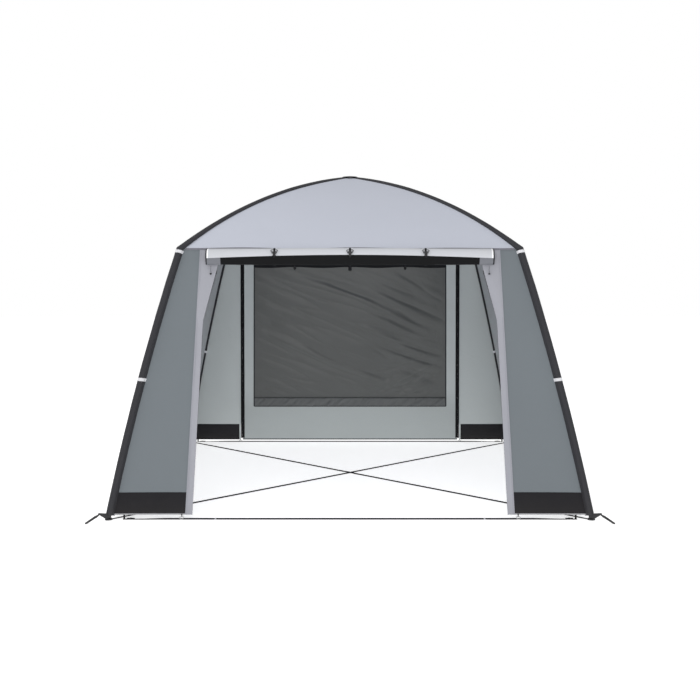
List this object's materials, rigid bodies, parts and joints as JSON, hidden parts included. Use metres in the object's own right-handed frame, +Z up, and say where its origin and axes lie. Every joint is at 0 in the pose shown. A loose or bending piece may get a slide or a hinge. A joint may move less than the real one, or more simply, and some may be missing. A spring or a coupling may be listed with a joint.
{
  "type": "tent on poles",
  "caption": "Square day shelter with a domed cloth roof on four bowed corner poles, an open front with a rolled-up door, a zipped back door with a window, and ground straps.",
  "frame": {"origin": "on the ground at the centre of the floor", "axes": "+Z up; the open front with the rolled door faces -Y; +X is to the right of someone who looks in through the front"},
  "size_m": [3.8064, 3.8064, 2.698],
  "materials": {
    "steel_tube": "satin powder coat",
    "black_plastic": "fine moulded grain",
    "tab_plastic": "fine moulded grain",
    "sleeve_cloth": "heavy plain-weave polyester",
    "light_webbing": "ribbed reflective webbing",
    "roof_cloth": "coated plain-weave polyester",
    "side_wall_cloth": "coated plain-weave polyester",
    "wing_cloth": "coated plain-weave polyester",
    "light_cloth": "coated plain-weave polyester",
    "back_cloth": "coated plain-weave polyester",
    "window_film": "smoked film with a woven blind behind it",
    "mud_flap_cloth": "coated heavy cloth",
    "ring_plastic": "clear moulded plastic",
    "zip_metal": "blackened die cast",
    "pull_plastic": "moulded",
    "zip_tape": "knitted zip tape",
    "rolled_cloth": "silver coated cloth",
    "black_webbing": "woven webbing",
    "toggle_plastic": "moulded"
  },
  "bodies": {
    "root": {"crown_hub": "black_plastic", "shoulder_elbows": "black_plastic", "pole_feet": "black_plastic", "roof_pole_back_right": "steel_tube", "upper_leg_back_right": "steel_tube", "lower_leg_back_right": "steel_tube", "leg_sleeve_back_right": "sleeve_cloth", "roof_pole_back_left": "steel_tube", "upper_leg_back_left": "steel_tube", "lower_leg_back_left": "steel_tube", "leg_sleeve_back_left": "sleeve_cloth", "roof_pole_front_left": "steel_tube", "upper_leg_front_left": "steel_tube", "lower_leg_front_left": "steel_tube", "leg_sleeve_front_left": "sleeve_cloth", "roof_pole_front_right": "steel_tube", "upper_leg_front_right": "steel_tube", "lower_leg_front_right": "steel_tube", "leg_sleeve_front_right": "sleeve_cloth", "roof_sleeves": "sleeve_cloth", "sleeve_bands": "light_webbing", "roof_panel_front": "roof_cloth", "roof_panel_right": "roof_cloth", "roof_panel_back": "roof_cloth", "roof_panel_left": "roof_cloth", "left_wall": "side_wall_cloth", "right_wall": "side_wall_cloth", "front_left_wing": "wing_cloth", "front_right_wing": "wing_cloth", "front_zip_flaps": "light_cloth", "back_left_panel": "back_cloth", "back_right_panel": "back_cloth", "mud_flaps": "mud_flap_cloth", "zip_tapes": "zip_tape", "rolled_front_door": "rolled_cloth", "door_ties": "black_webbing", "ground_straps": "black_webbing", "diagonal_straps": "black_webbing", "strap_buckles": "black_plastic"},
    "back_door": {"back_door_panel": "back_cloth", "back_window": "window_film"},
    "zip_slider_front_left": {"zip_slider_front_left": "zip_metal"},
    "zip_pull_front_left": {"zip_pull_front_left": "pull_plastic"},
    "peg_ring_front_left": {"peg_ring_front_left": "ring_plastic"},
    "zip_slider_front_right": {"zip_slider_front_right": "zip_metal"},
    "zip_pull_front_right": {"zip_pull_front_right": "pull_plastic"},
    "peg_ring_front_right": {"peg_ring_front_right": "ring_plastic"},
    "zip_slider_back_left": {"zip_slider_back_left": "zip_metal"},
    "zip_pull_back_left": {"zip_pull_back_left": "pull_plastic"},
    "peg_ring_back_left": {"peg_ring_back_left": "ring_plastic"},
    "zip_slider_back_right": {"zip_slider_back_right": "zip_metal"},
    "zip_pull_back_right": {"zip_pull_back_right": "pull_plastic"},
    "peg_ring_back_right": {"peg_ring_back_right": "ring_plastic"},
    "corner_tab_back_right": {"corner_tab_back_right": "tab_plastic"},
    "corner_tab_back_left": {"corner_tab_back_left": "tab_plastic"},
    "corner_tab_front_left": {"corner_tab_front_left": "tab_plastic"},
    "corner_tab_front_right": {"corner_tab_front_right": "tab_plastic"},
    "window_toggle_left": {"window_toggle_left": "toggle_plastic"},
    "window_toggle_centre": {"window_toggle_centre": "toggle_plastic"},
    "window_toggle_right": {"window_toggle_right": "toggle_plastic"}
  },
  "joints": [
    {"name": "back_door_lift", "type": "hinge", "parent": "root", "child": "back_door", "pos_m": [0, 1.30433, 1.984], "axis": [1, 0, 0], "range_deg": [0, 75]},
    {"name": "zip_slide_front_left", "type": "slide", "parent": "root", "child": "zip_slider_front_left", "axis": [-0.2257, -0.2112, -0.951], "range_m": [0, 0.38]},
    {"name": "pull_swing_front_left", "type": "hinge", "parent": "zip_slider_front_left", "child": "zip_pull_front_left", "pos_m": [-1.038, -1.32856, 1.83618], "axis": [1, 0, 0], "range_deg": [-6, 140]},
    {"name": "ring_swing_front_left", "type": "hinge", "parent": "root", "child": "peg_ring_front_left", "pos_m": [-1.232, -1.74114, 0.021], "axis": [1, 0, 0], "range_deg": [-100, 0]},
    {"name": "zip_slide_front_right", "type": "slide", "parent": "root", "child": "zip_slider_front_right", "axis": [0.2257, -0.2112, -0.951], "range_m": [0, 0.38]},
    {"name": "pull_swing_front_right", "type": "hinge", "parent": "zip_slider_front_right", "child": "zip_pull_front_right", "pos_m": [1.038, -1.32856, 1.83618], "axis": [1, 0, 0], "range_deg": [-6, 140]},
    {"name": "ring_swing_front_right", "type": "hinge", "parent": "root", "child": "peg_ring_front_right", "pos_m": [1.232, -1.74114, 0.021], "axis": [1, 0, 0], "range_deg": [-100, 0]},
    {"name": "zip_slide_back_left", "type": "slide", "parent": "root", "child": "zip_slider_back_left", "axis": [0.0209, -0.2168, 0.976], "range_m": [0, 1.83]},
    {"name": "pull_swing_back_left", "type": "hinge", "parent": "zip_slider_back_left", "child": "zip_pull_back_left", "pos_m": [-1.17376, 1.71814, 0.08218], "axis": [1, 0, 0], "range_deg": [-140, 6]},
    {"name": "ring_swing_back_left", "type": "hinge", "parent": "root", "child": "peg_ring_back_left", "pos_m": [-1.193, 1.74114, 0.021], "axis": [1, 0, 0], "range_deg": [0, 100]},
    {"name": "zip_slide_back_right", "type": "slide", "parent": "root", "child": "zip_slider_back_right", "axis": [-0.0209, -0.2168, 0.976], "range_m": [0, 1.83]},
    {"name": "pull_swing_back_right", "type": "hinge", "parent": "zip_slider_back_right", "child": "zip_pull_back_right", "pos_m": [1.17376, 1.71814, 0.08218], "axis": [1, 0, 0], "range_deg": [-140, 6]},
    {"name": "ring_swing_back_right", "type": "hinge", "parent": "root", "child": "peg_ring_back_right", "pos_m": [1.193, 1.74114, 0.021], "axis": [1, 0, 0], "range_deg": [0, 100]},
    {"name": "tab_lift_back_right", "type": "hinge", "parent": "root", "child": "corner_tab_back_right", "pos_m": [1.815, 1.815, 0.052], "axis": [0.7071, -0.7071, 0], "range_deg": [0, 100]},
    {"name": "tab_lift_back_left", "type": "hinge", "parent": "root", "child": "corner_tab_back_left", "pos_m": [-1.815, 1.815, 0.052], "axis": [0.7071, 0.7071, 0], "range_deg": [0, 100]},
    {"name": "tab_lift_front_left", "type": "hinge", "parent": "root", "child": "corner_tab_front_left", "pos_m": [-1.815, -1.815, 0.052], "axis": [-0.7071, 0.7071, 0], "range_deg": [0, 100]},
    {"name": "tab_lift_front_right", "type": "hinge", "parent": "root", "child": "corner_tab_front_right", "pos_m": [1.815, -1.815, 0.052], "axis": [-0.7071, -0.7071, 0], "range_deg": [0, 100]},
    {"name": "toggle_swing_left", "type": "hinge", "parent": "root", "child": "window_toggle_left", "pos_m": [-0.576, 1.29988, 1.95], "axis": [1, 0, 0], "range_deg": [-80, 4]},
    {"name": "toggle_swing_centre", "type": "hinge", "parent": "root", "child": "window_toggle_centre", "pos_m": [0, 1.29988, 1.95], "axis": [1, 0, 0], "range_deg": [-80, 4]},
    {"name": "toggle_swing_right", "type": "hinge", "parent": "root", "child": "window_toggle_right", "pos_m": [0.576, 1.29988, 1.95], "axis": [1, 0, 0], "range_deg": [-80, 4]}
  ]
}
